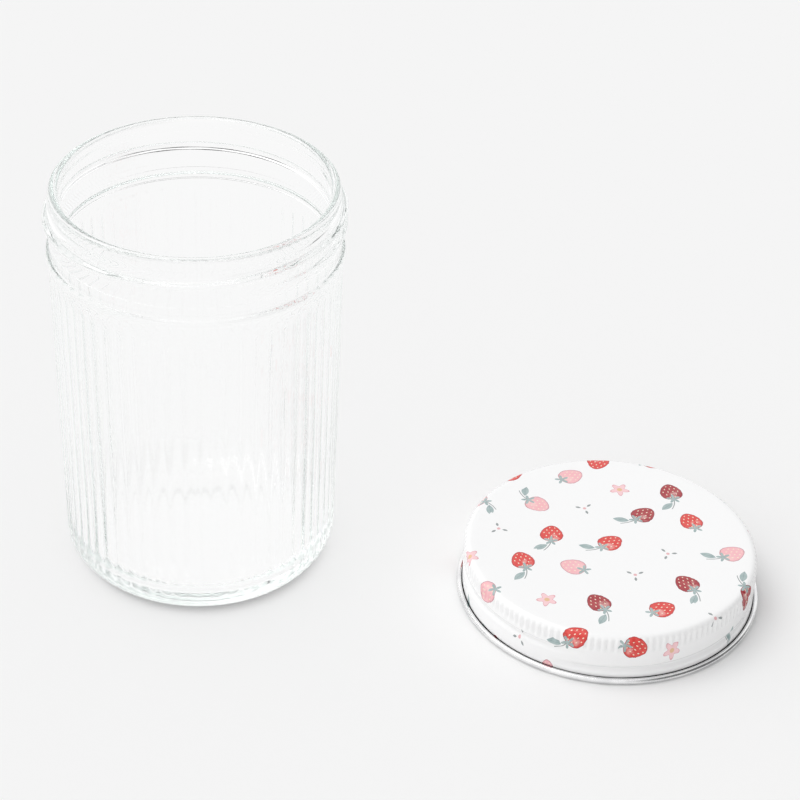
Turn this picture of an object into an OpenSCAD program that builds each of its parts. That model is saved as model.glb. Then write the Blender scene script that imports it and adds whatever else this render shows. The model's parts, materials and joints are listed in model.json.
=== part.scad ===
// Jam pot: a fluted glass jar with a screw neck, and its metal screw lid lying open
// side down beside it, with the sealing liner under the lid's top panel.
// Millimetres. The origin is the centre of the jar's foot, +Z runs up the jar's axis
// and +X points from the jar to the lid.

/* [Jar body] */
// Height of the jar, from the foot to the top of the lip
jar_h = 104.8; // [80:0.1:150]
// How far the body stands out past the neck at the shoulder
shoulder_step = 0.4; // [0.2:0.05:1]
// Loss of radius from the shoulder down to the heel
body_taper = 1.25; // [0:0.05:3]
// Thickness of the body's wall, at the crests between the flutes
body_wall = 2.8; // [2:0.1:5]
// Thickness of the glass at the middle of the floor
floor_t = 4.6; // [3:0.1:9]
// Radius of the rounded heel outside
heel_r = 8.2; // [5:0.1:12]
// Radius of the corner between floor and wall inside
floor_corner_r = 7; // [3:0.1:10]
// Width of the flat ring that the jar stands on
foot_w = 3; // [1.5:0.1:5]
// Rise of the dome under the floor, inside the standing ring
punt_h = 1.4; // [0.5:0.1:2]

/* [Flutes] */
// Number of upright flutes round the body
flute_count = 58; // [40:1:72]
// Width of one flute, measured across its two edges
flute_w = 3.3; // [2:0.1:3.6]
// Depth of one flute
flute_depth = 0.45; // [0.2:0.05:0.8]
// Drop from the top of the lip to the flutes' round upper ends
flute_drop = 20.6; // [20:0.1:30]

/* [Neck] */
// Inside radius of the mouth
mouth_r = 32.4; // [25:0.1:40]
// Length of the straight wall inside the mouth, under the lip's rounding
mouth_wall = 15; // [8:0.1:20]
// Thickness of the glass at the lip
lip_t = 2.3; // [1.8:0.05:2.6]
// Height of the slimmer lip above the screw neck
lip_h = 3; // [2:0.1:4]
// Rounding of the lip's two edges
lip_round = 1.05; // [0.5:0.05:1.1]
// Thickness of the glass at the neck, between the turns of the thread
neck_t = 2.7; // [2.6:0.05:4]
// Drop from the top of the lip to the middle of the bead below the thread
bead_drop = 17; // [15:0.1:18]
// How far the bead stands out of the neck
bead_h = 0.85; // [0.4:0.05:1.4]
// Radius of the bead's round section
bead_round = 1.7; // [1.4:0.1:1.8]
// Drop from the top of the lip to the shoulder where the body starts
shoulder_drop = 19.2; // [19:0.1:24]

/* [Thread] */
// Rise of the thread in one turn
thread_pitch = 4.23; // [3.5:0.01:4.5]
// How far the thread's crest stands out of the neck
thread_h = 1.3; // [0.8:0.05:1.6]
// Width of the thread's ridge at its foot
thread_w = 3.2; // [2:0.1:3.4]
// Turns of thread on the neck
thread_turns = 1.3; // [1:0.05:1.5]
// Drop from the top of the lip to the middle of the thread's upper end
thread_drop = 5.2; // [5:0.1:6]
// Direction of the thread's upper end, seen from above, in degrees from +X
thread_start = 40; // [-180:1:180]
// Turn that each end of the thread takes to rise out of the neck, in degrees
thread_runout = 24; // [6:1:40]

/* [Lid] */
// Overall height of the lid
lid_h = 13.6; // [12:0.1:18]
// Thickness of the lid's sheet metal
sheet_t = 0.3; // [0.2:0.05:0.5]
// Outer radius of the bend between the top panel and the skirt
lid_bend_r = 1.8; // [1:0.1:2.5]
// Clearance between the thread's crest and the inside of the skirt
skirt_gap = 0.3; // [0.2:0.05:0.8]
// Radius of the round curl at the skirt's lower edge
curl_r = 0.8; // [0.6:0.05:1]
// Number of knurls round the upper skirt
knurl_count = 138; // [100:1:150]
// Height of the knurled band, down from the top panel
knurl_h = 4.2; // [3:0.1:5]
// Depth of one knurl
knurl_depth = 0.16; // [0.05:0.01:0.18]
// Width of one knurl
knurl_w = 0.8; // [0.5:0.05:1.2]
// How far the lid's formed thread reaches into the lid
lid_thread_h = 0.9; // [0.5:0.05:1.2]
// Width of the formed thread at the skirt
lid_thread_w = 2.2; // [1.6:0.1:2.6]
// Height of the formed thread's lowest middle above the lid's edge
lid_thread_low = 3.3; // [2.9:0.1:3.6]
// Turns of thread formed in the lid
lid_thread_turns = 1.05; // [0.8:0.05:1.1]
// Direction of the formed thread's lower end, seen from above, in degrees from +X
lid_thread_start = -110; // [-180:1:180]

/* [Liner] */
// Thickness of the sealing liner
liner_t = 0.9; // [0.5:0.1:1.5]
// Gap between the liner's edge and the bend of the lid
liner_gap = 0.15; // [0.1:0.05:0.5]

/* [Layout] */
// Free space between the neck's thread and the lid that lies beside the jar
lid_distance = 31; // [5:1:60]

/* [Hidden] */

// Segments round the jar, the lid and the small round cutters
turn_fn = 180;
small_fn = 24;
// Straight pieces that stand for an arc in an outline
arc_steps = 8;
// Angle between two sections of a thread
thread_step = 6;
// How far cuts run past the surface that they open, and threads sink into their wall
overrun = 0.5;
sunk = 0.12;

// Radii of the neck, from the mouth outwards
lip_r = mouth_r + lip_t;
neck_r = mouth_r + neck_t;
bead_r = neck_r + bead_h;
thread_r = neck_r + thread_h;

// The body's outline: a straight, slightly tapered wall that meets the heel's arc
body_top_r = neck_r + shoulder_step;
body_top_z = jar_h - shoulder_drop;
body_low_r = body_top_r - body_taper;
wall_lean = atan(body_taper / (body_top_z - heel_r));
heel_cx = body_low_r - heel_r / cos(wall_lean);
foot_in_r = heel_cx - foot_w;
punt_sphere_r = (foot_in_r * foot_in_r + punt_h * punt_h) / (2 * punt_h);

// The hollow's outline: parallel to the wall, with a short cone up to the mouth
hollow_top_r = body_top_r - body_wall;
mouth_wall_z = jar_h - lip_round - mouth_wall;
hollow_cone_h = 3 * abs(hollow_top_r - mouth_r) + overrun;
hollow_top_z = mouth_wall_z - hollow_cone_h;
hollow_low_r = hollow_top_r - (hollow_top_z - floor_t - floor_corner_r) * tan(wall_lean);
floor_corner_cx = hollow_low_r - floor_corner_r / cos(wall_lean);
floor_corner_cz = floor_t + floor_corner_r;

// The bead is an arc whose ends lie on the neck
bead_cx = bead_r - bead_round;
bead_z = jar_h - bead_drop;
bead_half_turn = acos((neck_r - bead_cx) / bead_round);

// A flute is cut by a round bar that lies outside the wall
flute_r = (flute_w * flute_w / 4 + flute_depth * flute_depth) / (2 * flute_depth);
flute_off = flute_r - flute_depth;
flute_top_z = jar_h - flute_drop - flute_r;

// Lid: everything follows the neck's thread
skirt_in_r = thread_r + skirt_gap;
skirt_r = skirt_in_r + sheet_t;
curl_cx = skirt_r - sheet_t / 2 + curl_r;
curl_out_r = curl_cx + curl_r;
lid_x = thread_r + lid_distance + curl_out_r;
panel_z = lid_h - sheet_t;
liner_r = skirt_r - lid_bend_r - liner_gap;
knurl_r = (knurl_w * knurl_w / 4 + knurl_depth * knurl_depth) / (2 * knurl_depth);

// Section of a thread's ridge: shares of its half width and of its height
ridge_shares = [[-1, 0], [-0.66, 0.62], [-0.3, 1], [0.3, 1], [0.66, 0.62], [1, 0]];

// Points along an arc in an outline, from one angle to another
function arc(cx, cz, r, from, to) =
    [for (i = [0 : arc_steps]) let (a = from + (to - from) * i / arc_steps)
        [cx + r * cos(a), cz + r * sin(a)]];

// How much of the ridge's height stands at a share of the way, with run-outs at both ends
function ridge_rise(turned, whole) =
    let (t = min(turned, whole - turned) / thread_runout) t >= 1 ? 1 : sin(90 * max(t, 0));

// A ridge that winds up a wall: root radius, signed height, width, first height, turns
module helical_ridge(root_r, height, width, low_z, turns, from, buried) {
    whole = 360 * turns;
    n = ceil(whole / thread_step);
    m = len(ridge_shares);
    side = sign(height);
    points = [for (i = [0 : n]) let (turned = whole * i / n, a = from + turned,
                                     z = low_z + thread_pitch * turned / 360,
                                     rise = ridge_rise(turned, whole))
        for (s = ridge_shares)
            let (r = root_r - side * buried + (height + side * buried) * s[1] * max(rise, sunk))
            [r * cos(a), r * sin(a), z + s[0] * width / 2]];
    sides = [for (i = [0 : n - 1]) for (j = [0 : m - 1]) let (k = (j + 1) % m)
        each [[i * m + j, (i + 1) * m + j, (i + 1) * m + k], [i * m + j, (i + 1) * m + k, i * m + k]]];
    ends = [[for (j = [0 : m - 1]) j], [for (j = [m - 1 : -1 : 0]) n * m + j]];
    faces = concat(sides, ends);
    polyhedron(points, side > 0 ? [for (f = faces) [for (j = [len(f) - 1 : -1 : 0]) f[j]]] : faces);
}

// The jar's half section, from the dome under the floor outwards, up and back inside
module jar_section() {
    punt = [for (i = [0 : arc_steps]) let (r = foot_in_r * i / arc_steps)
        [r, punt_h - punt_sphere_r + sqrt(punt_sphere_r * punt_sphere_r - r * r)]];
    heel = arc(heel_cx, heel_r, heel_r, -90, -wall_lean);
    shoulder = arc(body_top_r - shoulder_step, body_top_z, shoulder_step, 0, 90);
    bead = arc(bead_cx, bead_z, bead_round, -bead_half_turn, bead_half_turn);
    lip_foot = [[neck_r, jar_h - lip_h - (neck_r - lip_r)], [lip_r, jar_h - lip_h]];
    lip_out = arc(lip_r - lip_round, jar_h - lip_round, lip_round, 0, 90);
    lip_in = arc(mouth_r + lip_round, jar_h - lip_round, lip_round, 90, 180);
    hollow = [[mouth_r, mouth_wall_z], [hollow_top_r, hollow_top_z]];
    floor_corner = arc(floor_corner_cx, floor_corner_cz, floor_corner_r, -wall_lean, -90);
    polygon(concat(punt, heel, shoulder, bead, lip_foot, lip_out, lip_in, hollow, floor_corner,
                   [[0, floor_t]]));
}

// The bar that cuts one flute: it runs along the wall, with a ball at its upper end,
// and leaves the glass by itself where the heel turns in
module flute_cutter() {
    low_z = -flute_r;
    low_x = body_low_r + flute_off / cos(wall_lean) + (low_z - heel_r) * tan(wall_lean);
    run = (flute_top_z - low_z) / cos(wall_lean);
    translate([low_x, 0, low_z]) rotate([0, wall_lean, 0]) {
        cylinder(r = flute_r, h = run);
        translate([0, 0, run]) sphere(r = flute_r);
    }
}

// Glass jar: a turned form with a winding thread on its neck and flutes round its body
module glass_jar() color([0.85, 0.93, 0.90, 0.5]) {
    difference() {
        rotate_extrude($fn = turn_fn) jar_section();
        for (i = [0 : flute_count - 1])
            rotate([0, 0, 360 * i / flute_count]) flute_cutter($fn = small_fn);
    }
    helical_ridge(neck_r, thread_h, thread_w, jar_h - thread_drop - thread_turns * thread_pitch,
                  thread_turns, thread_start - 360 * thread_turns, overrun);
}

// The lid's half section: top panel, bend, skirt and the curl at its edge
module lid_section() {
    bend_z = lid_h - lid_bend_r;
    difference() {
        union() {
            square([skirt_r - lid_bend_r, lid_h]);
            square([skirt_r, bend_z]);
            translate([skirt_r - lid_bend_r, bend_z]) circle(r = lid_bend_r);
        }
        square([skirt_r - lid_bend_r, panel_z]);
        square([skirt_in_r, bend_z]);
        translate([skirt_r - lid_bend_r, bend_z]) circle(r = lid_bend_r - sheet_t);
        square([skirt_r + overrun, curl_r]);
    }
    translate([curl_cx, curl_r]) circle(r = curl_r);
}

// The row of round-bottomed grooves that knurl the upper skirt
module knurl_cutters() {
    for (i = [0 : knurl_count - 1])
        rotate([0, 0, 360 * i / knurl_count])
            translate([skirt_r + knurl_r - knurl_depth, 0, lid_h - knurl_h])
                cylinder(r = knurl_r, h = knurl_h + overrun);
}

// Lid: turned sheet metal with a knurled grip and a thread pressed in from outside
module lid_shell() color([0.95, 0.95, 0.96])
translate([lid_x, 0, 0]) {
    difference() {
        rotate_extrude($fn = turn_fn) lid_section($fn = 2 * small_fn);
        knurl_cutters($fn = small_fn);
        helical_ridge(skirt_r, -lid_thread_h + sheet_t / 2, lid_thread_w - sheet_t,
                      lid_thread_low, lid_thread_turns, lid_thread_start, overrun);
    }
    difference() {
        helical_ridge(skirt_in_r, -lid_thread_h, lid_thread_w + sheet_t,
                      lid_thread_low, lid_thread_turns, lid_thread_start, sheet_t / 2);
        helical_ridge(skirt_r, -lid_thread_h + sheet_t / 2, lid_thread_w - sheet_t,
                      lid_thread_low, lid_thread_turns, lid_thread_start, overrun);
    }
}

// Sealing liner: a soft disc that lies against the top panel
module sealing_liner() color([0.93, 0.92, 0.88])
    translate([lid_x, 0, panel_z - liner_t]) cylinder(r = liner_r, h = liner_t, $fn = turn_fn);

glass_jar();
lid_shell();
sealing_liner();
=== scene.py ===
# %% [markdown]
# # Dressing an open jam pot
# The object is a fluted glass jam jar with a screw neck, and its printed metal lid that lies beside it. The
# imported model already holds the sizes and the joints. Here each piece gets the shape and the finish that a
# person sees: clear glass with a trace of green, white enamel with a small fruit print, a bare bright curl
# and a soft liner.

# %% Load the fixed frame
import json
import math

import bpy
import numpy as np
from mathutils import Matrix, Vector


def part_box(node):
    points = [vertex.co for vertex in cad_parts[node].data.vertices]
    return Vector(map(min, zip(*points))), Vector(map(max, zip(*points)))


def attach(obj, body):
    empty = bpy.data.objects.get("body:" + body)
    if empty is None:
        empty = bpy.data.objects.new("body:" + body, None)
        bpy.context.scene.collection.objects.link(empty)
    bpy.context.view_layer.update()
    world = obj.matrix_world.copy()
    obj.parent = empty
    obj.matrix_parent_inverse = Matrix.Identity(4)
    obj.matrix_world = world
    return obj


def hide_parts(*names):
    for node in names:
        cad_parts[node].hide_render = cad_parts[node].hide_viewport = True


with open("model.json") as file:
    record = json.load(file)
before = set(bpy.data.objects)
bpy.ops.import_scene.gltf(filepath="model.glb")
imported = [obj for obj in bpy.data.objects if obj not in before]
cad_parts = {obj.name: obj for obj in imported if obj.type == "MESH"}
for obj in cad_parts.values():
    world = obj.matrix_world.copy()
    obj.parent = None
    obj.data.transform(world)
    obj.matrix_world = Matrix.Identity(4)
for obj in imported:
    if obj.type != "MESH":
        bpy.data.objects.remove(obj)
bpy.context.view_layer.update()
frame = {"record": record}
MM = 0.001

# %% [markdown]
# ## Helpers for modelling
# A lathe form such as a jar or a lid starts as half of its section. We could add a cylinder and push its
# rings about, but a section that is extruded point by point and then spun once gives every curve its true
# radius.

# %% Draw arcs, straight stretches and soft steps of a section
OUT, UP, IN, DOWN = 0, 90, 180, -90


def arc(centre, radius, start, end, steps):
    """Points along an arc, with angles in degrees from straight outwards."""
    turns = [math.radians(start + (end - start) * i / steps) for i in range(steps + 1)]
    return [(centre[0] + radius * math.cos(t), centre[1] + radius * math.sin(t)) for t in turns]


def stretch(first, last, steps):
    """Points along a straight line, its two ends included."""
    shares = [i / steps for i in range(steps + 1)]
    return [tuple(a + (b - a) * s for a, b in zip(first, last)) for s in shares]


def swell(first, last, steps):
    """Points along a smooth S from one radius to another, upright at both ends."""
    shares = [i / steps for i in range(steps + 1)]
    return [(first[0] + (last[0] - first[0]) * s * s * (3 - 2 * s), first[1] + (last[1] - first[1]) * s)
            for s in shares]


# %% Turn a section into a closed solid
MERGE = 0.001 * MM


def spin_section(name, section, columns):
    """Extrude the section from its first point on, then spin it about the upright axis."""
    points = [p for i, p in enumerate(section) if i == 0 or math.dist(p, section[i - 1]) > MERGE]
    bpy.ops.object.select_all(action="DESELECT")
    bpy.ops.mesh.primitive_plane_add(size=MM, location=(0, 0, 0))
    piece = bpy.context.object
    piece.name = piece.data.name = name
    bpy.ops.object.mode_set(mode="EDIT")
    bpy.ops.mesh.merge(type="CENTER")
    bpy.ops.transform.translate(value=(points[0][0], 0, points[0][1]))
    for (r0, z0), (r1, z1) in zip(points, points[1:]):
        bpy.ops.mesh.extrude_region_move(TRANSFORM_OT_translate={"value": (r1 - r0, 0, z1 - z0)})
    bpy.ops.mesh.select_all(action="SELECT")
    bpy.ops.mesh.spin(steps=columns, angle=math.tau, center=(0, 0, 0), axis=(0, 0, 1))
    bpy.ops.mesh.select_all(action="SELECT")
    bpy.ops.mesh.remove_doubles(threshold=MERGE)
    bpy.ops.mesh.normals_make_consistent(inside=False)
    bpy.ops.object.mode_set(mode="OBJECT")
    bpy.ops.object.shade_smooth()
    print(name, "spun from", len(points), "points:", len(piece.data.polygons), "faces")
    return piece


# %% Read and write a mesh as an array, to move many points by one rule


def points_of(piece):
    """Every vertex of a piece as a row of x, y and z."""
    flat = np.empty(len(piece.data.vertices) * 3)
    piece.data.vertices.foreach_get("co", flat)
    return flat.reshape(-1, 3)


def around(points):
    """Angle, radius and height of each point about the upright axis."""
    return np.arctan2(points[:, 1], points[:, 0]), np.hypot(points[:, 0], points[:, 1]), points[:, 2].copy()


def set_points(piece, angle, radius, z, axis_x=0.0):
    """Write the points back, about an axis that may stand off the origin."""
    points = np.column_stack([axis_x + radius * np.cos(angle), radius * np.sin(angle), z])
    piece.data.vertices.foreach_set("co", points.ravel())
    piece.data.update()


def ease(value):
    """A smooth step from 0 to 1."""
    value = np.clip(value, 0, 1)
    return value * value * (3 - 2 * value)


def from_middle(angle, count, radius):
    """How far round a circle each point lies from the middle of the nearest of some equal parts."""
    pitch = math.tau / count
    return (np.mod(angle / pitch + 0.5, 1) - 0.5) * pitch * radius


# %% [markdown]
# ## Sizes
# The heights and the mouth come from the frame. The rest repeats the radii that the jar was designed with,
# as real sizes in metres.

# %% Sizes of the jar's neck, from the mouth outwards and from the lip down
jar_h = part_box("glass_jar")[1].z
mouth = next(m for m in frame["record"]["mounts"] if m["name"] == "mouth")
mouth_r = mouth["dims"]["r_mm"] * MM
lip_r = mouth_r + 2.3 * MM
neck_r = mouth_r + 2.7 * MM
lip_round = 1.05 * MM
lip_foot_z = jar_h - 2.3 * MM
neck_top_z = jar_h - 4.6 * MM
step_r = mouth_r + 0.17 * MM
mouth_wall_z = jar_h - 13.3 * MM
step_h = 0.24 * MM
bead_round = 1.7 * MM
bead_out = 0.85 * MM
bead_centre = (neck_r + bead_out - bead_round, jar_h - 17 * MM)
bead_half = math.degrees(math.acos((neck_r - bead_centre[0]) / bead_round))
bead_head_z = bead_centre[1] + bead_round * math.sin(math.radians(bead_half))
bead_low_z = jar_h - 17.3 * MM
bead_foot_z = jar_h - 17.75 * MM
print("jar", round(jar_h / MM, 1), "mm tall, mouth", round(2 * mouth_r / MM, 1), "mm across")

# %% Sizes of the jar's body and foot
body_top = (neck_r + 0.4 * MM, jar_h - 19.2 * MM)
body_taper = 1.25 * MM
body_low_r = body_top[0] - body_taper
heel_r = 8.2 * MM
lean = math.atan((body_top[0] - body_low_r) / (body_top[1] - heel_r))
lean_turn = math.degrees(lean)
heel_centre = (body_low_r - heel_r / math.cos(lean), heel_r)
foot_w = 3 * MM
foot_in_r = heel_centre[0] - foot_w
dome_rise = 1.4 * MM
dome_r = (foot_in_r ** 2 + dome_rise ** 2) / (2 * dome_rise)
dome_edge = math.degrees(math.asin(foot_in_r / dome_r))
wall_t = 2.8 * MM
hollow_top = (body_top[0] - wall_t, jar_h - 16.4 * MM)
shoulder_h = 0.25 * MM
floor_top = 4.6 * MM
floor_round = 7 * MM
hollow_low_r = hollow_top[0] - (hollow_top[1] - floor_top - floor_round) * math.tan(lean)
floor_centre = (hollow_low_r - floor_round / math.cos(lean), floor_top + floor_round)
print("body", round(2 * body_top[0] / MM, 1), "mm across, leaning", round(lean_turn, 2), "degrees")

# %% [markdown]
# ## The glass jar
# The real jar is one piece of glass, pressed and then blown into a mould. Its outside and its inside are
# both seen, because light bends at each of them, so the mesh is a closed wall with its real thickness. A
# surface without thickness would look like a soap bubble.

# %% Draw the jar's section, from the dome under the floor outwards, up and back inside
FLUTES = 58
COLUMNS_PER_FLUTE = 8
flute_end_z = jar_h - 25 * MM


def wall_at(z):
    """A point on the body's slightly tapered wall."""
    return body_top[0] - (body_top[1] - z) * math.tan(lean), z


jar_section = (
    arc((0, dome_rise - dome_r), dome_r, UP, UP - dome_edge, steps=7)
    + stretch((foot_in_r, 0), (heel_centre[0], 0), steps=3)
    + arc(heel_centre, heel_r, DOWN, -lean_turn, steps=22)
    + stretch((body_low_r, heel_r), wall_at(flute_end_z), steps=8)
    + stretch(wall_at(flute_end_z), wall_at(bead_foot_z), steps=16)
    + swell(wall_at(bead_foot_z), (bead_centre[0] + bead_round, bead_low_z), steps=12)
    + arc(bead_centre, bead_round, OUT, bead_half, steps=8)
    + stretch((neck_r, bead_head_z), (neck_r, neck_top_z), steps=46)
    + swell((neck_r, neck_top_z), (lip_r, lip_foot_z), steps=8)
    + arc((lip_r - lip_round, jar_h - lip_round), lip_round, OUT, UP, steps=8)
    + arc((mouth_r + lip_round, jar_h - lip_round), lip_round, UP, IN, steps=8)
    + stretch((mouth_r, jar_h - lip_round), (mouth_r, mouth_wall_z), steps=4)
    + swell((mouth_r, mouth_wall_z), (step_r, mouth_wall_z - step_h), steps=8)
    + swell((step_r, hollow_top[1] + shoulder_h), hollow_top, steps=6)
    + stretch(hollow_top, (hollow_low_r, floor_centre[1]), steps=16)
    + arc(floor_centre, floor_round, -lean_turn, DOWN, steps=12)
    + stretch((floor_centre[0], floor_top), (0, floor_top), steps=5)
)
jar = spin_section("jar_glass", jar_section, FLUTES * COLUMNS_PER_FLUTE)

# %% [markdown]
# The flutes are 58 shallow hollows side by side, like the flutes of a column. Each could be cut with a bar,
# but moving the points of the spun wall by one rule keeps the mesh even, which clear glass needs. The
# hollows begin softly under the bead, grow shallower towards the heel and fade out where it turns in.

# %% Press the flutes into the outer wall
flute_w = 3.3 * MM
flute_depth = 0.36 * MM
flute_r = (flute_w ** 2 / 4 + flute_depth ** 2) / (2 * flute_depth)
flute_top_z = jar_h - 19 * MM
flute_full_z = jar_h - 22 * MM
FADE_START, FADE_END = -4, -62
HEEL_SHARE, HEEL_REACH = 0.5, 14 * MM
ON_ARC = 0.05 * MM
inside_r = hollow_top[0] + 0.5 * MM

angle, radius, z = around(points_of(jar))
turn = np.degrees(np.arctan2(z - heel_centre[1], radius - heel_centre[0]))
from_heel = np.hypot(z - heel_centre[1], radius - heel_centre[0])
on_heel = (z < heel_r) & (np.abs(from_heel - heel_r) < ON_ARC) & (radius > heel_centre[0])
on_body = (z >= heel_r) & (z <= flute_top_z) & (radius > inside_r)
wall_turn = np.where(on_heel, turn, 0)
across = from_middle(angle, FLUTES, body_top[0])
hollow = np.sqrt(np.maximum(flute_r ** 2 - across ** 2, 0)) - (flute_r - flute_depth)
fade = 1 - ease((wall_turn - FADE_START) / (FADE_END - FADE_START))
fade *= ease((flute_top_z - z) / (flute_top_z - flute_full_z))
fade *= HEEL_SHARE + (1 - HEEL_SHARE) * ease((z - heel_r) / HEEL_REACH)
depth = np.maximum(hollow, 0) * fade * (on_heel | on_body)
radius -= depth * np.cos(np.radians(wall_turn))
z -= depth * np.sin(np.radians(wall_turn))
print("flutes", FLUTES, "deepest", round(float(depth.max()) / MM, 2), "mm")

# %% [markdown]
# The screw thread is a ridge that winds 1.3 times round the neck. It rises slowly at its lower end and ends
# more sharply at the top. It is one more rule for the same points: how high the ridge stands depends on how
# far a point lies from the ridge's middle.

# %% Wind the thread round the neck
thread_rise = 4.23 * MM
thread_h = 1.25 * MM
thread_w = 2.6 * MM
thread_drop = 5.0 * MM
thread_turns = 1.3
thread_end = math.radians(40)
thread_start = thread_end - math.tau * thread_turns
thread_low_z = jar_h - thread_drop - thread_turns * thread_rise
run_out = math.radians(24)
slow_start = math.radians(95)
CREST = 0.15
SLACK = 0.1 * MM


def ridge(angle, z, low_z, start, turns, width, low_turn, end_turn):
    """Share of a winding ridge's height at each point, from 0 beside it to 1 on its crest."""
    share = np.zeros(len(angle))
    whole = math.tau * turns
    for lap in range(math.ceil(turns)):
        turned = np.mod(angle - start, math.tau) + lap * math.tau
        off = np.abs(z - low_z - thread_rise * turned / math.tau) / (width / 2)
        near_end = np.minimum(turned / low_turn, (whole - turned) / end_turn)
        here = (1 - ease((off - CREST) / (1 - CREST))) * ease(near_end)
        share = np.maximum(share, np.where(turned <= whole, here, 0))
    return share


on_neck = (z > bead_head_z - SLACK) & (z < lip_foot_z + SLACK) & (radius > lip_r - SLACK)
radius += thread_h * on_neck * ridge(angle, z, thread_low_z, thread_start, thread_turns, thread_w,
                                     slow_start, run_out)
print("neck thread", thread_turns, "turns, widest radius", round(float(radius.max()) / MM, 2), "mm")

# %% [markdown]
# Only air touches the inside of a blown jar while it cools, so the inner wall is never quite true. A slow
# waviness of a tenth of a millimetre bends the light as real glass does.

# %% Let the inner wall run a little uneven
WAVE = 0.12 * MM
WAVES = ((1, 3, 17 * MM, 0), (0.6, 5, -9 * MM, 1), (0.5, 2, 29 * MM, 2))
CALM_FLOOR, CALM_TOP = 10 * MM, 12 * MM
floor_skin = 0.2 * MM

in_hollow = (radius < inside_r) & (z > floor_top + floor_skin) & (z < hollow_top[1])
settle = ease((z - floor_top) / CALM_FLOOR) * ease((hollow_top[1] - z) / CALM_TOP)
wave = sum(share * np.sin(count * angle + z / climb + start) for share, count, climb, start in WAVES)
radius += WAVE / 2 * wave * settle * in_hollow
set_points(jar, angle, radius, z)
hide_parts("glass_jar")
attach(jar, "jar")
print("jar box", [[round(v / MM, 2) for v in c] for c in (points_of(jar).min(0), points_of(jar).max(0))])

# %% [markdown]
# ## The lid
# The lid is one sheet of tinplate, 0.3 mm thick: a flat panel, a round bend, a knurled band to grip, a
# rolled thread and a curl at the edge. We spin the whole closed section, so that the sheet has an inside.

# %% Sizes of the lid
lid_low, lid_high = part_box("lid_shell")
lid_x = (lid_low.x + lid_high.x) / 2
lid_h = lid_high.z
sheet = 0.3 * MM
curl_r = 0.8 * MM
curl_centre = ((lid_high.x - lid_low.x) / 2 - curl_r, curl_r)
curl_shift = 0.04 * MM
CURL_OPEN = 8
skirt_r = curl_centre[0] - curl_r + sheet / 2
skirt_in_r = skirt_r - sheet
bend_r = 1.8 * MM
bend_centre = (skirt_r - bend_r, lid_h - bend_r)
crease_z = 1.42 * MM
crease_in, crease_drop = 0.1 * MM, 0.15 * MM
thread_low, thread_high = 2 * MM, 9 * MM
print("lid", round(2 * (curl_centre[0] + curl_r) / MM, 1), "mm across,", round(lid_h / MM, 1), "mm high")

# %% Draw and spin the lid's section, from the middle of the panel out, down, round the curl and back
KNURLS = 138
COLUMNS_PER_KNURL = 5
lid_section = (
    stretch((0, lid_h), (bend_centre[0], lid_h), steps=24)
    + arc(bend_centre, bend_r, UP, OUT, steps=8)
    + stretch((skirt_r, bend_centre[1]), (skirt_r, thread_high), steps=6)
    + stretch((skirt_r, thread_high), (skirt_r, thread_low), steps=18)
    + [(skirt_r, crease_z), (skirt_r - crease_in, crease_z - crease_drop)]
    + arc((curl_centre[0] + curl_shift, curl_centre[1] - curl_shift), curl_r - curl_shift,
          IN - CURL_OPEN, CURL_OPEN - IN, steps=24)
    + [(skirt_in_r, curl_r), (skirt_in_r, thread_low)]
    + stretch((skirt_in_r, thread_low), (skirt_in_r, thread_high), steps=14)
    + stretch((skirt_in_r, thread_high), (skirt_in_r, bend_centre[1]), steps=6)
    + arc(bend_centre, bend_r - sheet, OUT, UP, steps=6)
    + stretch((bend_centre[0], lid_h - sheet), (0, lid_h - sheet), steps=6)
)
lid = spin_section("lid_sheet", lid_section, KNURLS * COLUMNS_PER_KNURL)

# %% [markdown]
# Knurls are rolled into the skirt so that a wet hand can turn the lid. The thread is rolled in from outside
# as well, so the sheet goes in on both of its faces, and it winds the same way as the ridge on the neck.

# %% Roll the knurls into the upper skirt
knurl_w = 1.3 * MM
knurl_depth = 0.4 * MM
knurl_foot_z = lid_h - 4.4 * MM
knurl_fade = 0.5 * MM

angle, radius, z = around(points_of(lid))
flat_r = np.copy(radius)
in_skirt = (radius > skirt_in_r - SLACK) & (z > crease_z) & (z < lid_h)
on_bend = (radius > bend_centre[0] + 0.5 * bend_r) & (z > bend_centre[1])
across = from_middle(angle, KNURLS, skirt_r)
groove = np.cos(np.pi * np.clip(across / knurl_w, -0.5, 0.5)) ** 2
band = ease((lid_h - z) / bend_r) * ease((z - knurl_foot_z) / knurl_fade)
radius -= knurl_depth * groove * band * (in_skirt | on_bend)
print("knurls", KNURLS, "of", round(knurl_depth / MM, 2), "mm")

# %% Roll the thread into the lower skirt
groove_depth = 0.72 * MM
groove_w = 2.5 * MM
groove_turns = 1.05
groove_start = math.radians(-110)
groove_low_z = 3.3 * MM
groove_floor_z = 1.6 * MM

in_reach = (radius > skirt_in_r - SLACK) & (z > groove_floor_z) & (z < bend_centre[1])
radius -= groove_depth * in_reach * ridge(angle, z, groove_low_z, groove_start, groove_turns, groove_w,
                                          run_out, run_out)
print("thread groove", round(groove_depth / MM, 2), "mm deep,", groove_turns, "turns")

# %% [markdown]
# ## The print on the lid
# The sheet is printed flat and then drawn into a cup, so the pattern is stretched down the skirt. We give
# every face the place that it had on the flat sheet, and then lay the nearest motif of the pattern over it.
# An image would be simpler, but a drawn rule stays sharp at any size.

# %% Find each point's place on the flat sheet


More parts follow.
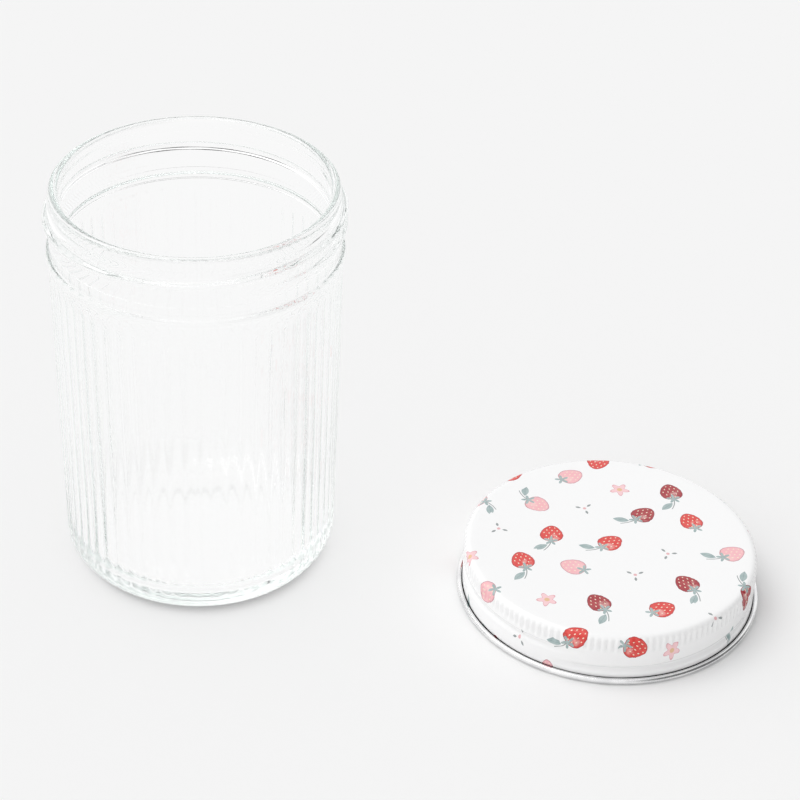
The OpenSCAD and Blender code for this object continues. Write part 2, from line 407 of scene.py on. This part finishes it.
def flat_radius(radius, z):
    """Radius on the flat sheet of points on the lid's outer face. Drawing the sheet down keeps its area."""
    on_bend = z > bend_centre[1]
    turn = np.arctan2(z - bend_centre[1], radius - bend_centre[0])
    round_bend = bend_r * (math.pi / 2 - turn)
    down = bend_r * math.pi / 2 + bend_centre[1] - z
    run = np.where(radius < bend_centre[0], 0, np.where(on_bend, round_bend, down))
    edge = np.minimum(radius, bend_centre[0])
    return np.sqrt(edge ** 2 + 2 * skirt_r * np.maximum(run, 0) * (radius >= bend_centre[0]))


sheet_r = float(flat_radius(np.array([skirt_r]), np.array([0.0]))[0])
print("flat sheet", round(2 * sheet_r / MM, 1), "mm across")

# %% Lay out the motifs in staggered rows, each a little off its place and turned its own way
SPACING = 14.2 * MM
ROW_SHARE = math.sqrt(0.75)
JITTER = 1.3 * MM
BLANK_R = 52 * MM
MOST_SEED = 50
STRAWBERRY, BERRY_ALONE, BLOSSOM, SPRIG = range(4)
ORDER = (STRAWBERRY, SPRIG, STRAWBERRY, BERRY_ALONE, BLOSSOM, STRAWBERRY, BERRY_ALONE, SPRIG, STRAWBERRY)
RED, WINE, PINK = (0.72, 0.034, 0.026, 1), (0.36, 0.007, 0.020, 1), (0.92, 0.50, 0.54, 1)
INKS = (RED, WINE, PINK)
chance = np.random.default_rng(11)
motifs = []
rows = math.ceil(BLANK_R / (SPACING * ROW_SHARE))
for row in range(-rows, rows + 1):
    for column in range(-rows, rows + 1):
        x = (column + 0.5 * (row % 2)) * SPACING
        y = row * SPACING * ROW_SHARE
        shift = chance.uniform(-JITTER, JITTER, 2)
        heading = chance.uniform(0, math.tau)
        kind = ORDER[(2 * row + column) % len(ORDER)]
        ink = PINK if kind == BLOSSOM else INKS[(row + 2 * column + column // 2) % len(INKS)]
        seed = chance.uniform(0, MOST_SEED)
        place = (x + shift[0], y + shift[1])
        motifs.append({"place": place, "heading": heading, "kind": kind, "ink": ink, "seed": seed})
print("motifs laid out:", len(motifs))

# %% Write the pattern's own map and inks to the faces


def of_motifs(name):
    """One value of every motif, as an array."""
    return np.array([motif[name] for motif in motifs], float)


flat = flat_radius(flat_r, z)
flat_points = np.column_stack([flat * np.cos(angle), flat * np.sin(angle)])
set_points(lid, angle, radius, z, lid_x)
mesh = lid.data
corner_vertex = np.empty(len(mesh.loops), int)
mesh.loops.foreach_get("vertex_index", corner_vertex)
face_size = np.empty(len(mesh.polygons), int)
mesh.polygons.foreach_get("loop_total", face_size)
corner_face = np.repeat(np.arange(len(face_size)), face_size)
middle = np.zeros((len(face_size), 2))
np.add.at(middle, corner_face, flat_points[corner_vertex])
middle /= face_size[:, None]
places = of_motifs("place")
nearest = ((middle[:, None, :] - places[None]) ** 2).sum(2).argmin(1)
heading = of_motifs("heading")[nearest][corner_face]
offset = (flat_points[corner_vertex] - places[nearest][corner_face]) / MM
u = offset[:, 0] * np.cos(heading) + offset[:, 1] * np.sin(heading)
v = -offset[:, 0] * np.sin(heading) + offset[:, 1] * np.cos(heading)
mesh.uv_layers.new(name="print").data.foreach_set("uv", np.column_stack([u, v]).ravel())
for name, values in (("motif_kind", of_motifs("kind")), ("motif_seed", of_motifs("seed"))):
    mesh.attributes.new(name, "FLOAT", "FACE").data.foreach_set("value", values[nearest])
ink_of = mesh.attributes.new("motif_ink", "FLOAT_COLOR", "FACE")
ink_of.data.foreach_set("color", of_motifs("ink")[nearest].ravel())
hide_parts("lid_shell")
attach(lid, "lid")
print("print map reaches", round(float(np.abs(offset).max()), 1), "mm from a motif")

# %% [markdown]
# ## The liner
# A soft compound is poured into the lid and sets as a disc with a raised ring, which seals on the lip of the
# jar. It is spun like the others, a little inside the space that its solid holds.

# %% Spin the liner
liner_low, liner_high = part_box("sealing_liner")
liner_r = (liner_high.x - liner_low.x) / 2
liner_top = liner_high.z - 0.02 * MM
liner_skin = liner_low.z + 0.3 * MM
liner_edge, liner_round, liner_draft = 0.3 * MM, 0.25 * MM, 0.05 * MM
ring_r, ring_z = lip_r - lip_round, liner_low.z + 0.45 * MM
ring_round, ring_foot, ring_half, ring_reach = 0.42 * MM, 0.1 * MM, 0.55 * MM, 0.9 * MM
disc_r = ring_r - 1.4 * MM
RING_TILT = 20
liner_section = (
    stretch((0, liner_top), (liner_r - liner_edge, liner_top), steps=6)
    + arc((liner_r - liner_edge, liner_top - liner_round), liner_round, UP, OUT, steps=4)
    + [(liner_r - liner_draft, liner_skin + ring_foot)]
    + stretch((ring_r + ring_reach, liner_skin), (ring_r + ring_half, liner_skin - ring_foot), steps=2)
    + arc((ring_r, ring_z), ring_round, -RING_TILT, RING_TILT - IN, steps=10)
    + stretch((ring_r - ring_half, liner_skin - ring_foot), (ring_r - ring_reach, liner_skin), steps=2)
    + stretch((disc_r, liner_skin), (0, liner_skin), steps=8)
)
liner = spin_section("liner_disc", liner_section, columns=180)
angle, radius, z = around(points_of(liner))
set_points(liner, angle, radius, z, lid_x)
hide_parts("sealing_liner")
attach(liner, "liner")

# %% [markdown]
# ## Shader maths
# A finish is drawn with formulas. Linking Math nodes by hand is slow to read, so one small class wraps a
# socket and lets Python's own signs add the nodes.

# %% Wrap a socket so that formulas can be written as Python
MIX_FACTOR, MIX_FIRST, MIX_SECOND, MIX_RESULT = 0, 6, 7, 2


class Value:
    """A number, vector or colour in a node tree, or a bare start of one. Sums on it add Math nodes."""

    def __init__(self, tree, socket=None):
        self.tree = tree
        self.socket = socket

    def node(self, kind, settings=None, inputs=None, output=0):
        """Add one node: its type, its settings, then the values or links of its sockets."""
        made = self.tree.nodes.new(kind)
        for name, setting in (settings or {}).items():
            setattr(made, name, setting)
        for name, given in (inputs or {}).items():
            if isinstance(given, Value):
                self.tree.links.new(given.socket, made.inputs[name])
            else:
                made.inputs[name].default_value = given
        return Value(self.tree, made.outputs[output])

    def output(self, name):
        """Another output of the node that this value comes from."""
        return Value(self.tree, self.socket.node.outputs[name])

    def feed(self, socket):
        """Link this value to a shader's or an output's socket."""
        self.tree.links.new(self.socket, socket)

    def math(self, operation, *values):
        return self.node("ShaderNodeMath", {"operation": operation}, dict(enumerate(values)))

    def __add__(self, other):
        return self.math("ADD", self, other)

    def __radd__(self, other):
        return self.math("ADD", other, self)

    def __sub__(self, other):
        return self.math("SUBTRACT", self, other)

    def __rsub__(self, other):
        return self.math("SUBTRACT", other, self)

    def __mul__(self, other):
        return self.math("MULTIPLY", self, other)

    def __rmul__(self, other):
        return self.math("MULTIPLY", other, self)

    def __truediv__(self, other):
        return self.math("DIVIDE", self, other)

    def __rtruediv__(self, other):
        return self.math("DIVIDE", other, self)

    def __pow__(self, other):
        return self.math("POWER", self, other)

    def __abs__(self):
        return self.math("ABSOLUTE", self)

    def __lt__(self, other):
        return self.math("LESS_THAN", self, other)

    def __gt__(self, other):
        return self.math("GREATER_THAN", self, other)

    def cos(self):
        return self.math("COSINE", self)

    def at_least(self, other):
        """The larger of two values."""
        return self.math("MAXIMUM", self, other)

    def past_whole(self):
        """What a number has past the whole number below it."""
        return self - self.math("FLOOR", self)

    def soft_step(self, start, end):
        """0 before start and 1 past end, smooth between them. The two may lie either way round."""
        settings = {"interpolation_type": "SMOOTHSTEP", "clamp": True}
        low, high, first, last = (start, end, 0.0, 1.0) if start < end else (end, start, 1.0, 0.0)
        inputs = {"Value": self, "From Min": low, "From Max": high, "To Min": first, "To Max": last}
        return self.node("ShaderNodeMapRange", settings, inputs)

    def part(self, index):
        """One of a vector's three numbers."""
        return self.node("ShaderNodeSeparateXYZ", None, {0: self}, index)

    def noise(self, scale, detail=2.0):
        """Soft noise over a vector; scale counts its waves in one unit."""
        return self.node("ShaderNodeTexNoise", None, {"Vector": self, "Scale": scale, "Detail": detail})

    def bump(self, strength, distance):
        """The normal of a surface that this value raises."""
        inputs = {"Strength": strength, "Distance": distance, "Height": self}
        return self.node("ShaderNodeBump", None, inputs)

    def shift(self, step):
        """A vector moved by another vector or a fixed step."""
        return self.node("ShaderNodeVectorMath", {"operation": "ADD"}, {0: self, 1: step})

    def blend(self, factor, other):
        """This colour where the factor is 0, the other where it is 1."""
        inputs = {MIX_FACTOR: factor, MIX_FIRST: self, MIX_SECOND: other}
        return self.node("ShaderNodeMix", {"data_type": "RGBA"}, inputs, MIX_RESULT)

    def mix(self, factor, other):
        """This shader where the factor is 0, the other where it is 1."""
        return self.node("ShaderNodeMixShader", None, {0: factor, 1: self, 2: other})

    def colour(self, colour):
        """A fixed colour as a value to blend from."""
        made = self.tree.nodes.new("ShaderNodeRGB")
        made.outputs[0].default_value = colour
        return Value(self.tree, made.outputs[0])


# %% Start a finish and put it on a piece


def grey(level):
    """A neutral colour."""
    return level, level, level, 1


def new_finish(name):
    """A material with one Principled shader, and a bare start for values in its tree."""
    material = bpy.data.materials.new(name)
    material.use_nodes = True
    shader = next(n for n in material.node_tree.nodes if n.type == "BSDF_PRINCIPLED")
    return material, Value(material.node_tree), shader


def surface_of(material):
    """The output node that a material's surface and volume go into."""
    return next(n for n in material.node_tree.nodes if n.type == "OUTPUT_MATERIAL")


def put_on(piece, material):
    """Give a piece this finish alone."""
    piece.data.materials.clear()
    piece.data.materials.append(material)
    print(material.name, "on", piece.name, "with", len(material.node_tree.nodes), "nodes")


# %% [markdown]
# ## Clear glass
# Jar glass bends light by its index of 1.52 and has a trace of green that shows only where light goes a
# long way through it, so the colour sits in the volume and not on the surface. Light from the lamps is let
# through to the table by a clear shader, because tracing it through every flute would take far too long.
# Near the foot that shader is darker, since the round heel of a real jar turns the light away and leaves a
# dark edge.

# %% Make the glass
GLASS_IOR = 1.52
GREEN = (0.40, 0.80, 0.66, 1)
GREEN_DENSITY = 1.0
CLEAR_WALL, CLEAR_FOOT = grey(0.985), grey(0.4)
FOOT_HIGH, FOOT_LOW = 3 * MM, 0.3 * MM
SCUFF_ROUGHNESS = 0.05


def make_glass():
    material, start, shader = new_finish("jar_glass")
    output = surface_of(material)
    shader.inputs["Base Color"].default_value = grey(1)
    shader.inputs["IOR"].default_value = GLASS_IOR
    shader.inputs["Transmission Weight"].default_value = 1.0
    place = start.node("ShaderNodeTexCoord", output="Object")
    fine_scuffs = place.noise(scale=900.0, detail=4.0).soft_step(0.62, 0.8)
    scuffed_parts = place.noise(scale=60.0).soft_step(0.5, 0.7)
    (fine_scuffs * scuffed_parts * SCUFF_ROUGHNESS).feed(shader.inputs["Roughness"])
    place.noise(scale=55.0).bump(strength=0.1, distance=0.6 * MM).feed(shader.inputs["Normal"])
    near_foot = place.part(2).soft_step(FOOT_HIGH, FOOT_LOW)
    wall = start.node("ShaderNodeBsdfTransparent", None, {"Color": CLEAR_WALL})
    foot = start.node("ShaderNodeBsdfTransparent", None, {"Color": CLEAR_FOOT})
    to_lamp = start.node("ShaderNodeLightPath", output="Is Shadow Ray")
    from_lamps = to_lamp.at_least(to_lamp.output("Is Diffuse Ray"))
    solid = Value(start.tree, shader.outputs[0])
    solid.mix(from_lamps, wall.mix(near_foot, foot)).feed(output.inputs["Surface"])
    green = start.node("ShaderNodeVolumeAbsorption", None, {"Color": GREEN, "Density": GREEN_DENSITY})
    green.feed(output.inputs["Volume"])
    return material


put_on(jar, make_glass())

# %% [markdown]
# ## Printed enamel
# Each motif is drawn in millimetres round its own middle. A shape is a formula that is below 1 inside: a
# berry with broad shoulders and a narrow tip, a lens for a leaf, and a flower whose edge swings out five
# times. The inks are uneven like watercolour, with a darker line where the wash dried at the edge.

# %% Choose the colours of the print
WHITE = (0.94, 0.94, 0.942, 1)
GREY_GREEN, PALE_GREEN, LEAF_VEIN = (0.33, 0.43, 0.43, 1), (0.55, 0.64, 0.63, 1), (0.22, 0.30, 0.31, 1)
STEM_GREY = (0.30, 0.33, 0.33, 1)
SEED_YELLOW = (0.95, 0.80, 0.62, 1)
WASHED_RED, SHINE_PINK, DRIED_RED = (0.93, 0.30, 0.26, 1), (0.97, 0.72, 0.68, 1), (0.10, 0.01, 0.03, 1)
PETAL_PALE, PETAL_EDGE, PETAL_HEART = (0.97, 0.82, 0.82, 1), (0.62, 0.20, 0.26, 1), (0.80, 0.52, 0.30, 1)
BUD_PINK = (0.80, 0.45, 0.47, 1)

# %% Draw a berry with its seeds, in millimetres
BERRY_TALL, BERRY_WIDE, BERRY_DROP, SHOULDERS = 3.3, 2.85, 1.6, 0.24
SEED_ROW, SEED_LANE = 1.15, 1.3
SEED_WIDE, SEED_TALL = 0.15, 0.27
SHINE_AT = (-0.9, -0.4)


def lay_berry(paint, u, v, ink, wash, wobble, where):
    """Lay a berry over the paint, with its tip down the v axis."""
    tall = (v + BERRY_DROP + wobble * 0.3) / BERRY_TALL
    wide = abs(u + wobble * 0.4) / (BERRY_WIDE * (1 + SHOULDERS * tall))
    berry = wide * wide + tall * tall
    row = v / SEED_ROW
    lane = row.math("FLOOR", row) * 0.5 + u / SEED_LANE
    seed_x = (lane.past_whole() - 0.5) * SEED_LANE
    seed_y = (row.past_whole() - 0.5) * SEED_ROW
    seeds = ((seed_x / SEED_WIDE) ** 2.0 + (seed_y / SEED_TALL) ** 2.0) < 1.0
    from_shine = (u - SHINE_AT[0]) ** 2.0 + (v - SHINE_AT[1]) ** 2.0
    shine = from_shine.soft_step(2.6, 0.2) * wash.soft_step(0.35, 0.62)
    berry_ink = ink.blend(wash.soft_step(0.3, 0.75) * 0.15, WASHED_RED)
    berry_ink = berry_ink.blend(shine * 0.45, SHINE_PINK)
    berry_ink = berry_ink.blend(berry.soft_step(0.80, 0.92) * 0.75, ink.blend(0.55, DRIED_RED))
    berry_ink = berry_ink.blend(seeds * (berry < 0.66), SEED_YELLOW)
    return paint.blend(berry.soft_step(1.02, 0.98) * where, berry_ink)


# %% Draw a berry's stem, leaf and cap
CAP_V, CAP_R, CAP_SWING, CAP_TURN = 1.35, 1.15, 0.7, 1.57
STEM_FOOT, STEM_END, STEM_CURVE = 1.4, 5.6, 0.09
LEAF_AT, LEAF_ALONG, LEAF_UP = (2.5, 4.3), 0.82, 0.57
LEAF_LONG, LEAF_WIDE = 2.1, 0.95


def lens(x, y, length, width):
    """A pointed leaf along x: below 1 inside."""
    return abs(y) / width + (x / length) ** 2.0


def turn_of(x, y):
    """Angle of a point about the middle, from the x axis."""
    return y.math("ARCTAN2", y, x)


def lay_stem(paint, u, v, where):
    """Lay a thin curved stem over the paint."""
    stem_u = u - STEM_CURVE * (v - STEM_FOOT) * (v - STEM_FOOT)
    stem = abs(stem_u).soft_step(0.17, 0.11) * (v > STEM_FOOT) * (v < STEM_END)
    return paint.blend(stem * where, STEM_GREY)


def leaf_shape(u, v):
    """The leaf that hangs on a stem: its lens, and how far each point lies from its middle vein."""
    leaf_x = (u - LEAF_AT[0]) * LEAF_ALONG + (v - LEAF_AT[1]) * LEAF_UP
    leaf_y = (v - LEAF_AT[1]) * LEAF_ALONG - (u - LEAF_AT[0]) * LEAF_UP
    return lens(leaf_x, leaf_y, LEAF_LONG, LEAF_WIDE), abs(leaf_y)


def cap_area(u, v):
    """Where the cap of five pointed leaves covers the berry."""
    from_cap = v - CAP_V
    cap_r = (u * u + from_cap * from_cap) ** 0.5
    edge_r = CAP_R + CAP_SWING * (turn_of(u, from_cap) * 5.0 + CAP_TURN).cos()
    return (cap_r - edge_r).soft_step(0.08, -0.02)


# %% Draw a blossom and a sprig
PETAL_R, PETAL_SWING = 2.0, 0.62
TWIG_R, TWIG_LONG, TWIG_WIDE = 1.7, 0.75, 0.34
THIRD = math.tau / 3


def lay_blossom(paint, far, round_middle, ink, wash, wobble, where):
    """Lay a flower of five petals over the paint."""
    petal = far / (PETAL_R + PETAL_SWING * (round_middle * 5.0).cos() + wobble * 0.4)
    petal_ink = ink.blend(0.55 - wash * 0.4, PETAL_PALE)
    petal_ink = petal_ink.blend(petal.soft_step(0.84, 0.94) * 0.6, PETAL_EDGE)
    petal_ink = petal_ink.blend(far.soft_step(0.75, 0.6), PETAL_HEART)
    return paint.blend(petal.soft_step(1.03, 0.98) * where, petal_ink)


def lay_sprig(paint, far, round_middle, where):
    """Lay three small twigs round a bud over the paint."""
    folded = ((round_middle / THIRD + 0.5).past_whole() - 0.5) * THIRD
    twig_x = far * folded.cos() - TWIG_R
    twig_y = far * folded.math("SINE", folded)
    twig = lens(twig_x, twig_y, TWIG_LONG, TWIG_WIDE)
    paint = paint.blend(twig.soft_step(1.06, 0.9) * where, STEM_GREY)
    return paint.blend(far.soft_step(0.5, 0.4) * where, BUD_PINK)


# %% Lay every kind of motif over the white ground, each on its own faces


def draw_print(start):
    """The enamel's colour: white ground with berries, flowers and sprigs."""
    uv = start.node("ShaderNodeUVMap", {"uv_map": "print"})
    u, v = uv.part(0), uv.part(1)
    kind = start.node("ShaderNodeAttribute", {"attribute_name": "motif_kind"}, output="Fac")
    seed = start.node("ShaderNodeAttribute", {"attribute_name": "motif_seed"}, output="Fac")
    ink = start.node("ShaderNodeAttribute", {"attribute_name": "motif_ink"}, output="Color")
    own = uv.shift(start.node("ShaderNodeCombineXYZ", None, {"X": seed, "Y": seed * 0.7, "Z": seed}))
    wash = own.noise(scale=0.75, detail=3.0)
    wobble = own.noise(scale=1.1) - 0.5
    is_berry = kind < BERRY_ALONE + 0.5
    with_stem = kind < STRAWBERRY + 0.5
    is_blossom = (kind > BLOSSOM - 0.5) * (kind < BLOSSOM + 0.5)
    is_sprig = kind > SPRIG - 0.5
    far = (u * u + v * v) ** 0.5
    round_middle = turn_of(u, v)
    leaf, from_vein = leaf_shape(u, v)
    leaf_ink = start.colour(GREY_GREEN).blend(wash.soft_step(0.3, 0.7) * 0.4, PALE_GREEN)
    leaf_ink = leaf_ink.blend(from_vein.soft_step(0.1, 0.05) * 0.6, LEAF_VEIN)

    paint = lay_stem(start.colour(WHITE), u, v, with_stem)
    paint = paint.blend(leaf.soft_step(1.04, 0.96) * with_stem, leaf_ink)
    paint = lay_berry(paint, u, v, ink, wash, wobble, is_berry)
    paint = paint.blend(cap_area(u, v) * is_berry, leaf_ink)
    paint = lay_blossom(paint, far, round_middle, ink, wash, wobble, is_blossom)
    return lay_sprig(paint, far, round_middle, is_sprig)


# %% Make the enamel, printed outside and plain inside
ENAMEL_ROUGHNESS, ENAMEL_VARIES = 0.16, 0.1
COAT, COAT_ROUGHNESS = 0.3, 0.06


def make_enamel(printed):
    material, start, shader = new_finish("printed_enamel" if printed else "plain_enamel")
    place = start.node("ShaderNodeTexCoord", output="Object")
    paint = draw_print(start) if printed else start.colour(WHITE)
    paint.feed(shader.inputs["Base Color"])
    roughness = ENAMEL_ROUGHNESS + ENAMEL_VARIES * place.noise(scale=120.0, detail=3.0)
    roughness.feed(shader.inputs["Roughness"])
    place.noise(scale=1400.0).bump(strength=0.08, distance=0.1 * MM).feed(shader.inputs["Normal"])
    shader.inputs["Coat Weight"].default_value = COAT
    shader.inputs["Coat Roughness"].default_value = COAT_ROUGHNESS
    return material


# %% [markdown]
# The cut edge of the sheet is rolled outwards into a curl and carries no enamel. Its upper inner side lies
# in a narrow seam against the skirt that hardly any light reaches, and that shade is painted into the
# metal's colour as a dark line. The photograph shows that line strongest at the lid's sides and fainter at
# its front and back.

# %% Make the bare metal of the curl
SEAM_OUT, SEAM_IN = curl_centre[0] - 0.42 * MM, curl_centre[0] - 0.62 * MM
SEAM_LOW, SEAM_HIGH = 0.5 * MM, 0.9 * MM
SEAM_SHADE_LEAST = 0.35
TIN_ROUGHNESS, TIN_VARIES = 0.14, 0.16
# SEAM_PAINTED_SHADE is painted shade: the near-black colour laid on the metal where the seam lies in shade.
BRIGHT_TIN, DULL_TIN, SEAM_PAINTED_SHADE = grey(0.86), (0.72, 0.72, 0.73, 1), grey(0.03)


def make_bare_metal():
    material, start, shader = new_finish("bare_tinplate")
    shader.inputs["Metallic"].default_value = 1.0
    place = start.node("ShaderNodeTexCoord", output="Object")
    smudge = place.noise(scale=160.0, detail=3.0).soft_step(0.35, 0.7)
    from_axis = place.part(0) - lid_x
    far = (from_axis * from_axis + place.part(1) * place.part(1)) ** 0.5
    # Painted shade: this mask darkens the metal's colour in the seam, less towards the lid's front and back.
    painted_seam_shade = far.soft_step(SEAM_OUT, SEAM_IN) * place.part(2).soft_step(SEAM_LOW, SEAM_HIGH)
    painted_seam_shade = painted_seam_shade * (SEAM_SHADE_LEAST + (1 - SEAM_SHADE_LEAST) * (abs(from_axis) / far).soft_step(0.1, 0.6))
    silver = start.colour(BRIGHT_TIN).blend(smudge, DULL_TIN)
    silver.blend(painted_seam_shade, SEAM_PAINTED_SHADE).feed(shader.inputs["Base Color"])
    roughness = TIN_ROUGHNESS + TIN_VARIES * place.noise(scale=500.0, detail=3.0)
    roughness.feed(shader.inputs["Roughness"])
    return material


# %% Give each face of the lid its finish
PRINTED, PLAIN, BARE = range(3)
STEEP = 0.3
curl_out_r = skirt_r + 0.06 * MM
curl_top_z = 2 * curl_r + 0.05 * MM


def face_vectors(name):
    """A vector of every face of the lid as a row, such as its centre or its normal."""
    flat = np.empty(len(lid.data.polygons) * 3)
    lid.data.polygons.foreach_get(name, flat)
    return flat.reshape(-1, 3)


put_on(lid, make_enamel(True))
lid.data.materials.append(make_enamel(False))
lid.data.materials.append(make_bare_metal())
centres, normals = face_vectors("center"), face_vectors("normal")
face_z, rising = centres[:, 2], normals[:, 2]
outward = (centres[:, 0] - lid_x) * normals[:, 0] + centres[:, 1] * normals[:, 1]
under_panel = (rising < -STEEP) | ((outward < 0) & (rising < STEEP))
inner = np.where(face_z < bend_centre[1], outward < 0, under_panel)
on_curl = (np.hypot(centres[:, 0] - lid_x, centres[:, 1]) > curl_out_r) & (face_z < curl_top_z)
finish_of = np.where(on_curl | (face_z < crease_z), BARE, np.where(inner, PLAIN, PRINTED))
lid.data.polygons.foreach_set("material_index", finish_of.astype(np.int32))
print("lid faces printed, plain, bare:", [int((finish_of == k).sum()) for k in (PRINTED, PLAIN, BARE)])

# %% [markdown]
# ## Soft liner
# The sealing compound is off-white and dull, with a faint grain. It is seen only from below.

# %% Make the liner's compound
CREAM, DARK_CREAM = (0.80, 0.78, 0.71, 1), (0.72, 0.70, 0.63, 1)
COMPOUND_ROUGHNESS, COMPOUND_VARIES = 0.5, 0.2


def make_compound():
    material, start, shader = new_finish("sealing_compound")
    place = start.node("ShaderNodeTexCoord", output="Object")
    grain = place.noise(scale=700.0, detail=4.0)
    start.colour(CREAM).blend(grain, DARK_CREAM).feed(shader.inputs["Base Color"])
    (COMPOUND_ROUGHNESS + COMPOUND_VARIES * grain).feed(shader.inputs["Roughness"])
    grain.bump(strength=0.15, distance=0.1 * MM).feed(shader.inputs["Normal"])
    return material


put_on(liner, make_compound())

# %% [markdown]
# ## Table, sky and lamp
# The table is a plain pale sheet, a hair below the jar so that the two faces don't lie in one plane. The
# sky lights it evenly and one soft lamp from the left gives the shapes their shade. Together they light the
# table at about 1, so its colour renders as it is written. Through the glass the table is seen without the
# jar's shadow, because the light that a real jar gathers under itself is not traced.

# %% Lay the table
TABLE_GREY = 0.913
SEEN_IN_GLASS = 0.945
TABLE_SIZE = 6.0
TABLE_Z = -0.02 * MM
bpy.ops.object.select_all(action="DESELECT")
bpy.ops.mesh.primitive_plane_add(size=TABLE_SIZE, location=(0, 0, TABLE_Z))
table = bpy.context.object
table.name = "table"
table_finish, start, shader = new_finish("table_white")
shader.inputs["Base Color"].default_value = grey(TABLE_GREY)
shader.inputs["Roughness"].default_value = 1.0
shader.inputs["Specular IOR Level"].default_value = 0.0
in_glass = start.node("ShaderNodeLightPath", output="Is Transmission Ray")
lit = Value(start.tree, shader.outputs[0])
plain = start.node("ShaderNodeEmission", None, {"Color": grey(SEEN_IN_GLASS), "Strength": 1.0})
lit.mix(in_glass, plain).feed(surface_of(table_finish).inputs["Surface"])
put_on(table, table_finish)

# %% [markdown]
# A white studio has darker parts, and clear glass is drawn by them alone. The sky that the glass and the
# metal show glows most on its right and has two such parts: a grey wall far to the right, and a narrow gap
# low at the back that gives the thin dark lines inside the neck. The gap shows through one wall of glass
# only, or every flute would repeat it. The camera itself sees the sky in the table's grey, and the pieces
# are lit by an even sky that is a little brighter on the left.

# %% Hang the sky
SKY_LIGHT, SKY_SLANT = 0.8, 0.45
SKY_SHINE, SKY_LOW = 1.12, 0.96
SLANT_SIDE = (0.95, 0.3, 0)
WALL_SIDE, WALL_EDGE = (0.94, -0.15, 0.3), (0.5, 0.85)
WALL_DARK, WALL_DARK_ON_GLOSS = 0.35, 0.5
GAP_ACROSS, GAP_HALF, GAP_TOP = (0.98, 0.2, 0), (0.22, 0.1), (0.2, 0.1)
GAP_DARK, GAP_DEPTH = 0.92, 2.5
sky = bpy.data.worlds.new("studio")
bpy.context.scene.world = sky
sky.use_nodes = True
start = Value(sky.node_tree)
way = start.node("ShaderNodeTexCoord", output="Generated")
right, back, up = way.part(0), way.part(1), way.part(2)


def along(side):
    """How far the direction that is looked in points to a side: right, back and up."""
    return side[0] * right + side[1] * back + side[2] * up


seen = start.node("ShaderNodeLightPath", output="Is Camera Ray")
on_gloss = seen.output("Is Glossy Ray")
mirrored = on_gloss.at_least(seen.output("Is Transmission Ray"))
right_wall = along(WALL_SIDE).soft_step(*WALL_EDGE)
back_gap = abs(along(GAP_ACROSS)).soft_step(*GAP_HALF) * up.soft_step(*GAP_TOP) * (back > 0.0)
back_gap = back_gap * (seen.output("Transmission Depth") < GAP_DEPTH)
glow = SKY_LOW + (SKY_SHINE - SKY_LOW) * right.soft_step(0.0, 0.3).at_least(on_gloss)
shine = glow * (1 - (WALL_DARK + WALL_DARK_ON_GLOSS * on_gloss) * right_wall) * (1 - GAP_DARK * back_gap)
even = SKY_LIGHT * (1 - SKY_SLANT * along(SLANT_SIDE))
strength = even + (shine - even) * mirrored
strength = strength + (TABLE_GREY - strength) * seen
background = next(n for n in sky.node_tree.nodes if n.type == "BACKGROUND")
background.inputs["Color"].default_value = grey(1)
strength.feed(background.inputs["Strength"])
print("sky with", len(sky.node_tree.nodes), "nodes")

# %% Set up the lamp
LAMP_HEIGHT = math.radians(64)
LAMP_SIDE = math.radians(172)
LAMP_SOFTNESS = math.radians(40)
LAMP_PLACE = (-0.4, 0.1, 0.5)
LAMP_SHARE = 1 - SKY_LIGHT
bpy.ops.object.light_add(type="SUN", location=LAMP_PLACE)
lamp = bpy.context.object
lamp.name = "left_lamp"
level = math.cos(LAMP_HEIGHT)
towards = Vector((math.cos(LAMP_SIDE) * level, math.sin(LAMP_SIDE) * level, math.sin(LAMP_HEIGHT)))
lamp.rotation_euler = towards.to_track_quat("Z", "Y").to_euler()
lamp.data.energy = LAMP_SHARE * math.pi / math.sin(LAMP_HEIGHT)
lamp.data.angle = LAMP_SOFTNESS
print("lamp energy", round(lamp.data.energy, 3))

# %% [markdown]
# ## Camera
# The photograph looks down on the table from a raised place in front. Its viewing angle, distance and
# slight tilt were worked out from the outlines of the jar and the lid, and are given here as real angles
# and lengths. Light that meets many walls of glass needs more bounces than Blender gives by default.

# %% Place the camera
VIEW_SIDE = math.radians(7.88)
VIEW_DOWN = math.radians(34.64)
VIEW_TILT = math.radians(2.18)
VIEW_FAR = 0.6905
AIM = Vector((40.84 * MM, 71.68 * MM, 0))
LENS, SENSOR = 110, 36
BOUNCES = 32
turned = Matrix.Rotation(VIEW_SIDE, 3, "Z") @ Matrix.Rotation(math.pi / 2 - VIEW_DOWN, 3, "X")
turned = turned @ Matrix.Rotation(VIEW_TILT, 3, "Z")
eye = AIM + turned @ Vector((0, 0, VIEW_FAR))
bpy.ops.object.camera_add(location=eye, rotation=turned.to_euler())
camera = bpy.context.object
camera.name = "photo_camera"
camera.data.lens = LENS
camera.data.sensor_width = SENSOR
bpy.context.scene.camera = camera
bpy.context.scene.view_settings.view_transform = "Standard"
for name in ("max_bounces", "glossy_bounces", "transmission_bounces"):
    setattr(bpy.context.scene.cycles, name, BOUNCES)
print("camera at", [round(v, 3) for v in eye])
